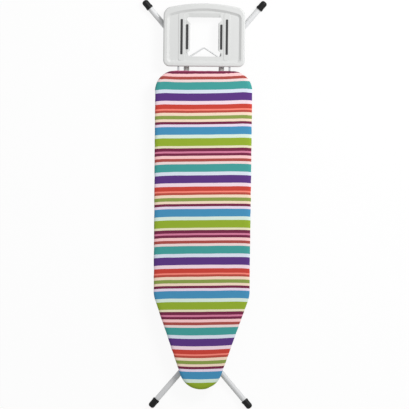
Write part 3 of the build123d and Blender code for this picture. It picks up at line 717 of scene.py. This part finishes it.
@dataclass
class Cover:
    """The striped cover: a cloth drawn over pad and rim, gathered where it turns the ends."""

    outline: Outline
    cloth: float = 0.001
    edge_in: float = 0.013
    edge_drop: float = 0.0085
    hem_round: float = 0.003
    hem_width: float = 0.0195
    casing: float = 0.0085
    casing_puff: float = 0.0008
    puff_power: float = 0.7
    crown: float = 0.0006
    gather: float = 0.0024
    gather_length: float = 0.017
    gather_mix: tuple[float, ...] = (1.0, 1.63, 2.71)
    straight_gather: float = 0.15
    turn_gather: float = 0.08
    turn_blur: int = 5
    seed: int = 11
    draw: float = 0.003
    steps: int = 15
    quality: int = 6
    point_mass: float = 0.15
    bending: float = 0.3
    gravity: float = 0.4
    cloth_gap: float = 0.0006
    pad_gap: float = 0.0004
    most_moved: float = 0.0025
    edge_rings: int = 9
    side_rings: int = 7
    tuck_rings: int = 6
    hem_rings: int = 4
    casing_rings: int = 9
    lattice: Lattice = field(default_factory=lambda: Lattice(55, 171))
    bow: StripeBow = field(default_factory=StripeBow)
    finish: StripedCotton = field(default_factory=StripedCotton)

    def profile(self) -> tuple[Array, Array, Array]:
        """The cloth's path from the flat top over the edge, down the side and under the rim.

        It is a quarter ellipse, a straight side, a small quarter circle and a flat hem that ends
        in a puffed casing: half a sine wave, to a power below 1, that hangs below it.

        Returns:
            Inset from the outline, height, and length along the cloth, for each ring.
        """
        low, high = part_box("cover")
        turn = np.linspace(0.0, math.pi / 2, self.edge_rings)
        side = np.linspace(high.z - self.edge_drop, low.z + self.hem_round, self.side_rings)[1:-1]
        tuck = np.linspace(0.0, math.pi / 2, self.tuck_rings)
        hem = np.linspace(self.hem_round, self.hem_width - self.casing, self.hem_rings)[1:]
        casing = np.linspace(0.0, 1.0, self.casing_rings)[1:]
        puff = self.casing_puff * np.sin(math.pi * casing) ** self.puff_power
        inset = np.concatenate([
            self.edge_in * (1 - np.sin(turn)),
            0 * side,
            self.hem_round * (1 - np.cos(tuck)),
            hem,
            hem[-1] + self.casing * casing,
        ])
        height = np.concatenate([
            high.z - self.edge_drop * (1 - np.cos(turn)),
            side,
            low.z + self.hem_round * (1 - np.sin(tuck)),
            low.z + 0 * hem,
            low.z - puff,
        ])
        step = np.hypot(np.diff(inset), np.diff(height))
        return inset, height, np.concatenate([[0.0], np.cumsum(step)])

    def folds(self, plan: Array, facing: Array, share: Array) -> Array:
        """How far the cloth stands out of its path, ring by ring.

        Small sine waves of a few mixed lengths run round the outline, never inwards of its path.
        They grow with the square of the way to the hem, and with how sharply the outline turns.

        Args:
            plan: outline points.
            facing: their outward directions.
            share: 0 at the top edge to 1 at the hem, for each ring.

        Returns:
            A distance for each ring and outline point.
        """
        step = np.linalg.norm(np.roll(plan, -1, axis=0) - plan, axis=1)
        bend = np.linalg.norm(np.roll(facing, -1, axis=0) - facing, axis=1) / step
        blur = self.turn_blur
        kernel = np.hanning(2 * blur + 1) / np.hanning(2 * blur + 1).sum()
        around = np.concatenate([bend[-blur:], bend, bend[:blur]])
        bend = np.convolve(around, kernel, mode="valid")
        where = np.cumsum(step)
        whole = where[-1]
        mix = np.array(self.gather_mix)
        phase = np.random.default_rng(self.seed).uniform(0.0, 2 * math.pi, len(mix))
        counts = np.round(whole / (self.gather_length * mix))
        turns = 2 * math.pi * counts[:, None] * where[None] / whole
        waves = np.sin(turns + phase[:, None]).sum(axis=0) / len(mix)
        turning = np.clip(bend * self.turn_gather, 0.0, 1.0)
        strength = self.straight_gather + (1 - self.straight_gather) * turning
        return self.gather * (share**2)[:, None] * (strength * (0.5 + 0.5 * waves))[None]

    def build(self, pad: bpy.types.Object) -> bpy.types.Object:
        """Make the cloth, let it settle on the pad and give it its thickness.

        Args:
            pad: the pad that it lies on.

        Returns:
            The cover.
        """
        plan, facing = self.outline.loop(self.lattice.across, self.lattice.along)
        inset, height, length = self.profile()
        stand = self.folds(plan, facing, length / length[-1])
        lean = np.gradient(inset)[:, None], np.gradient(height)[:, None]
        size = np.hypot(*lean)
        outward, upward = -lean[1] / size * stand, -lean[0] / size * stand
        flat = plan[None] + (outward - inset[:, None])[..., None] * facing[None]
        rings = np.concatenate([flat, (height[:, None] + upward)[..., None]], axis=2)
        top = self.lattice.patch(rings[0])
        top[:, 2] += self.crown * self.lattice.swell()
        points = np.concatenate([top, rings[1:].reshape(-1, 3)])
        around = len(plan)
        numbers = len(top) + np.arange((len(rings) - 1) * around).reshape(-1, around)
        faces = np.concatenate([
            self.lattice.patch_faces(),
            Lattice.band_faces(np.concatenate([self.lattice.edge()[None], numbers])),
        ])
        spread = plan[None] + (length - inset[0])[:, None, None] * facing[None]
        cut = np.concatenate([top[:, :2], spread[1:].reshape(-1, 2)])
        cloth = self.finish.material()
        cover = new_piece("striped_cover", points, faces, cloth)
        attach(cover, "board")
        uv = self.bow.straighten(cut)
        corner = np.empty(len(cover.data.loops), dtype=np.int32)
        cover.data.loops.foreach_get("vertex_index", corner)
        layer = cover.data.uv_layers.new(name="cut")
        layer.data.foreach_set("uv", uv[corner].ravel())
        self.settle(cover, pad, numbers[self.edge_rings - 2 :].ravel())
        wall = cover.modifiers.new("cloth", "SOLIDIFY")
        wall.thickness = self.cloth
        wall.offset = -1.0
        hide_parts("cover")
        return cover

    def settle(self, cover: bpy.types.Object, pad: bpy.types.Object, held: Array) -> None:
        """Draw the cloth taut over the pad, by a short simulation with its sides and hem held.

        Args:
            cover: the cloth.
            pad: what it lies on.
            held: numbers of the points that don't move.
        """
        scene = bpy.context.scene
        before = np.empty(len(cover.data.vertices) * 3, dtype=np.float32)
        cover.data.vertices.foreach_get("co", before)
        group = cover.vertex_groups.new(name="held")
        group.add(held.tolist(), 1.0, "REPLACE")
        press = pad.modifiers.new("press", "COLLISION")
        pad.collision.thickness_outer = self.pad_gap
        drape = cover.modifiers.new("drape", "CLOTH")
        drape.settings.quality = self.quality
        drape.settings.mass = self.point_mass
        drape.settings.shrink_min = self.draw
        drape.settings.vertex_group_mass = group.name
        drape.settings.bending_stiffness = self.bending
        drape.settings.effector_weights.gravity = self.gravity
        drape.collision_settings.distance_min = self.cloth_gap
        drape.point_cache.frame_end = self.steps
        for step in range(1, self.steps + 1):
            scene.frame_set(step)
        relaxed = cover.evaluated_get(bpy.context.evaluated_depsgraph_get())
        after = np.empty_like(before)
        relaxed.data.vertices.foreach_get("co", after)
        moved = (after - before).reshape(-1, 3)
        far = np.linalg.norm(moved, axis=1, keepdims=True)
        moved *= np.minimum(1.0, self.most_moved / np.maximum(far, NEXT_TO_NOTHING))
        cover.modifiers.remove(drape)
        pad.modifiers.remove(press)
        cover.vertex_groups.remove(group)
        scene.frame_set(1)
        cover.data.vertices.foreach_set("co", before + moved.ravel())
        cover.data.update()
        LOG.info("cover settled: moved %.2f mm at most", 1000 * float(far.max()))


class SubAssembly(ABC):
    """One sub-assembly: it builds the pieces that it adds and dresses the CAD model's own."""

    @abstractmethod
    def pieces(self) -> dict[HardFinish, tuple[str, ...]]:
        """Names of the CAD pieces that take each finish."""

    def build(self) -> None:
        """Add the sub-assembly's own pieces. Most have none."""

    def dress(self) -> None:
        """Give every CAD piece its finish."""
        for finish, names in self.pieces().items():
            for name in names:
                for slot in frame["nodes"][name].material_slots:
                    slot.material = finish.material()
                LOG.info("%s takes %s", name, finish.name)


@dataclass
class BoardTop(SubAssembly):
    """The ironing surface: a painted frame with its rail and guides, a felt pad and the cover."""

    outline: Outline = field(default_factory=Outline)

    def pieces(self) -> dict[HardFinish, tuple[str, ...]]:
        """Frame and rail in paint, pins and screws in zinc, guides in nylon."""
        return {
            GREY_PAINT: (
                "rim_frame",
                "mesh_top",
                "rear_crossbar",
                "rail_far_crossbar",
                "rail_near_crossbar",
                "hinge_crossbar",
                "nose_crossbar",
                "slide_rail",
                "hinge_bracket_left",
                "hinge_bracket_right",
            ),
            ZINC: ("hinge_pin_left", "hinge_pin_right", "guide_screws"),
            NYLON: (
                "rod_guide_rear_left",
                "rod_guide_rear_right",
                "rod_guide_front_left",
                "rod_guide_front_right",
            ),
        }

    def build(self) -> None:
        """Lay the pad and draw the cover over it."""
        pad = FeltPad(self.outline).build()
        Cover(self.outline).build(pad)


class LegEnd(Enum):
    """The two leg pairs, named by the end of the board that their feet reach past when folded."""

    REAR = "rear"
    NOSE = "nose"


@dataclass
class LegPair(SubAssembly):
    """Two splayed tubes with a cross brace, rubber feet and plugs, and the axle they carry."""

    end: LegEnd
    tube_r: float = 0.011
    brace_r: float = 0.008
    bead_r: float = 0.0013
    bead_lump: float = 0.12
    bead_lumps: int = 11
    bead_steps: int = 48
    bead_sides: int = 10

    def pieces(self) -> dict[HardFinish, tuple[str, ...]]:
        """Tubes in paint, feet in rubber, plugs in nylon, axle in zinc."""
        end = self.end.value
        hinge = {
            LegEnd.REAR: {ZINC: ("cross_axle",), NYLON: ("rear_leg_plugs", "cross_spacers")},
            LegEnd.NOSE: {ZINC: ("slide_axle",), NYLON: ("nose_leg_plugs",)},
        }
        return {
            GREY_PAINT: (f"{end}_leg_tube_left", f"{end}_leg_tube_right", f"{end}_leg_brace"),
            FOOT_RUBBER: (f"{end}_foot_left", f"{end}_foot_right"),
            **hinge[self.end],
        }

    def build(self) -> None:
        """Weld the brace to the tubes: a small round bead along each saddle.

        A saddle is a circle of the brace's radius, pushed along X by the depth of the tube's
        round side at that height.
        """
        body = f"{self.end.value}_leg"
        low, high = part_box(f"{body}_brace")
        leg_x = high.x + math.sqrt(self.tube_r**2 - self.brace_r**2)
        y, z = (low.y + high.y) / 2, (low.z + high.z) / 2
        around = np.linspace(0.0, 2 * math.pi, self.bead_steps, endpoint=False)
        bead = np.linspace(0.0, 2 * math.pi, self.bead_sides, endpoint=False)
        lump = self.bead_r * (1 + self.bead_lump * np.sin(self.bead_lumps * around))[:, None]
        radial = self.brace_r + lump * np.cos(bead)[None]
        rise = radial * np.sin(around)[:, None]
        side = leg_x - np.sqrt(self.tube_r**2 - rise**2) + lump * np.sin(bead)[None]
        points = np.stack([side, y + radial * np.cos(around)[:, None], z + rise], axis=2)
        mirrored = points * np.array([-1.0, 1.0, 1.0])
        ring = np.arange(points[..., 0].size).reshape(len(around), len(bead))
        faces = Lattice.band_faces(np.concatenate([ring, ring[:1]]))
        both = np.concatenate([faces, faces[:, ::-1] + ring.size])
        points = np.concatenate([points.reshape(-1, 3), mirrored.reshape(-1, 3)])
        welds = new_piece(f"{body}_welds", points, both, GREY_PAINT.material())
        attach(welds, body)


@dataclass
class HeightLatch(SubAssembly):
    """The carriage that runs along the rail, the lever that locks it and its leaf spring."""

    leaf_t: float = 0.0005
    leaf_width: float = 0.008
    clip_length: float = 0.010
    clip_steps: int = 4
    curl: float = 1.6
    curl_steps: int = 24

    def pieces(self) -> dict[HardFinish, tuple[str, ...]]:
        """Shoes, block and lever in nylon, pin in zinc."""
        return {
            NYLON: ("slide_shoe_left", "slide_shoe_right", "latch_block", "height_lever"),
            ZINC: ("lever_pin",),
        }

    def build(self) -> None:
        """Bend a leaf spring from its clip on the carriage up to the lever.

        The leaf lies flat on its clip, then rises by a power of the way to its free end. Its
        section is a thin rectangle carried along that path.
        """
        low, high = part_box("latch_spring")
        clip_y = high.y - self.clip_length
        clip = np.linspace(high.y, clip_y, self.clip_steps + 1)[:-1]
        way = np.linspace(0.0, 1.0, self.curl_steps)
        rise = (high.z - low.z - self.leaf_t) * way**self.curl
        y = np.concatenate([clip, clip_y + (low.y - clip_y) * way])
        z = low.z + np.concatenate([0 * clip, rise])
        across = self.leaf_width / 2 * np.array([-1.0, -1.0, 1.0, 1.0])
        through = self.leaf_t * np.array([0.0, 1.0, 1.0, 0.0])
        section = np.broadcast_arrays(across[None], y[:, None], z[:, None] + through[None])
        ring = np.arange(4 * len(y)).reshape(-1, 4)
        faces = np.concatenate([Lattice.band_faces(ring), ring[:1], ring[-1:, ::-1]])
        points = np.stack(section, axis=2).reshape(-1, 3)
        zinc = ZINC.material()
        leaf = new_piece("latch_leaf", points, faces, zinc, smooth=False)
        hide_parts("latch_spring")
        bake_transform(leaf)


class IronRest(SubAssembly):
    """The sliding tray at the rear, its heat strips, its bar and its two rods."""

    def pieces(self) -> dict[HardFinish, tuple[str, ...]]:
        """Tray in plastic, strips in rubber, bar in paint, steel in zinc, clamps in nylon."""
        return {
            TRAY_PLASTIC: ("rest_tray",),
            STRIP_RUBBER: (
                "heat_strip_outer_left",
                "heat_strip_outer_right",
                "heat_strip_inner_left",
                "heat_strip_inner_right",
            ),
            GREY_PAINT: ("v_bar",),
            ZINC: ("rest_rod_left", "rest_rod_right", "clamp_screws"),
            NYLON: ("rod_clamps",),
        }


@dataclass
class Studio:
    """A white room: a floor, a soft key from the upper right, and a camera straight above."""

    pixel: float = 0.00393
    pixels: int = 409
    aim: tuple[float, float] = (0.0080, -0.0004)
    roll: float = 0.60
    lens: float = 600.0
    sensor: float = 36.0
    clip_reach: float = 4.0
    floor_size: float = 80.0
    floor_grey: float = 0.9
    white_share: float = 0.92
    key_place: tuple[float, float, float] = (1.75, 1.75, 2.4)
    key_size: float = 1.2
    key_power: float = 78.0
    dome: float = 0.50

    def camera(self) -> None:
        """Stand a long lens straight above, at the height that gives a pixel its size."""
        data = bpy.data.cameras.new("camera")
        data.lens = self.lens
        data.sensor_width = self.sensor
        height = self.pixel * self.pixels * self.lens / self.sensor
        data.clip_end = self.clip_reach * height
        eye = bpy.data.objects.new("camera", data)
        eye.location = (*self.aim, height + cad_high.z)
        eye.rotation_euler = (0.0, 0.0, math.radians(self.roll))
        bpy.context.scene.collection.objects.link(eye)
        bpy.context.scene.camera = eye

    def key(self) -> None:
        """Hang one large soft lamp at the upper right."""
        data = bpy.data.lights.new("key", "AREA")
        data.size = self.key_size
        data.energy = self.key_power
        lamp = bpy.data.objects.new("key", data)
        lamp.location = self.key_place
        lamp.rotation_euler = (-lamp.location).to_track_quat("-Z", "Y").to_euler()
        bpy.context.scene.collection.objects.link(lamp)

    @staticmethod
    def seen(tree: bpy.types.NodeTree) -> bpy.types.NodeSocket:
        """One for a ray that shows the surface itself or its mirror image.

        Args:
            tree: the node tree to add to.

        Returns:
            The socket that says so.
        """
        path = tree.nodes.new("ShaderNodeLightPath")
        most = path.outputs["Is Camera Ray"]
        for name in ("Is Glossy Ray", "Is Transmission Ray"):
            pick = tree.nodes.new("ShaderNodeMath")
            pick.operation = "MAXIMUM"
            tree.links.new(most, pick.inputs[0])
            tree.links.new(path.outputs[name], pick.inputs[1])
            most = pick.outputs[0]
        return most

    def room(self) -> None:
        """Light the room evenly, and show it white."""
        world = bpy.data.worlds.new("white_room")
        bpy.context.scene.world = world
        world.use_nodes = True
        tree = world.node_tree
        background = tree.nodes["Background"]
        background.inputs["Color"].default_value = (1.0, 1.0, 1.0, 1.0)
        level = tree.nodes.new("ShaderNodeMapRange")
        tree.links.new(self.seen(tree), level.inputs["Value"])
        level.inputs["To Min"].default_value = self.dome
        level.inputs["To Max"].default_value = 1.0
        tree.links.new(level.outputs[0], background.inputs["Strength"])

    def floor_finish(self) -> bpy.types.Material:
        """A pale floor that keeps the shadow, shows white and is clear from below.

        Returns:
            Its material.
        """
        material = bpy.data.materials.new("white_floor")
        material.use_nodes = True
        tree = material.node_tree
        tree.nodes.clear()
        matte = tree.nodes.new("ShaderNodeBsdfDiffuse")
        matte.inputs["Color"].default_value = (*(self.floor_grey,) * 3, 1.0)
        glow = tree.nodes.new("ShaderNodeEmission")
        share = tree.nodes.new("ShaderNodeMath")
        share.operation = "MULTIPLY"
        share.inputs[1].default_value = self.white_share
        tree.links.new(self.seen(tree), share.inputs[0])
        above = tree.nodes.new("ShaderNodeMixShader")
        tree.links.new(share.outputs[0], above.inputs[0])
        tree.links.new(matte.outputs[0], above.inputs[1])
        tree.links.new(glow.outputs[0], above.inputs[2])
        side = tree.nodes.new("ShaderNodeMixShader")
        geometry = tree.nodes.new("ShaderNodeNewGeometry")
        clear = tree.nodes.new("ShaderNodeBsdfTransparent")
        tree.links.new(geometry.outputs["Backfacing"], side.inputs[0])
        tree.links.new(above.outputs[0], side.inputs[1])
        tree.links.new(clear.outputs[0], side.inputs[2])
        output = tree.nodes.new("ShaderNodeOutputMaterial")
        tree.links.new(side.outputs[0], output.inputs["Surface"])
        return material

    def floor(self) -> None:
        """Lay a floor that stays level with the rear feet."""
        half = self.floor_size / 2
        mesh = bpy.data.meshes.new("floor")
        corners = [(-half, -half, 0.0), (half, -half, 0.0), (half, half, 0.0), (-half, half, 0.0)]
        mesh.from_pydata(corners, [], [(0, 1, 2, 3)])
        mesh.materials.append(self.floor_finish())
        floor = bpy.data.objects.new("floor", mesh)
        bpy.context.scene.collection.objects.link(floor)
        low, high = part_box("rear_foot_right")
        level = bpy.data.objects.new("foot_level", None)
        bpy.context.scene.collection.objects.link(level)
        level.parent = frame["bodies"]["rear_leg"]
        level.location = (high.x, high.y, low.z)
        follow = floor.constraints.new("COPY_LOCATION")
        follow.target = level
        follow.use_x = follow.use_y = False

    def build(self) -> None:
        """Set up the camera, the light and the floor."""
        bpy.context.scene.view_settings.view_transform = "Standard"
        self.camera()
        self.key()
        self.room()
        self.floor()


def main() -> None:
    """Build and dress the board in order."""
    logging.basicConfig(level=logging.INFO, format="%(name)s: %(message)s")
    Studio().build()
    legs = LegPair(LegEnd.REAR), LegPair(LegEnd.NOSE)
    for assembly in (BoardTop(), *legs, HeightLatch(), IronRest()):
        assembly.build()
        assembly.dress()


if __name__ == "__main__":
    main()
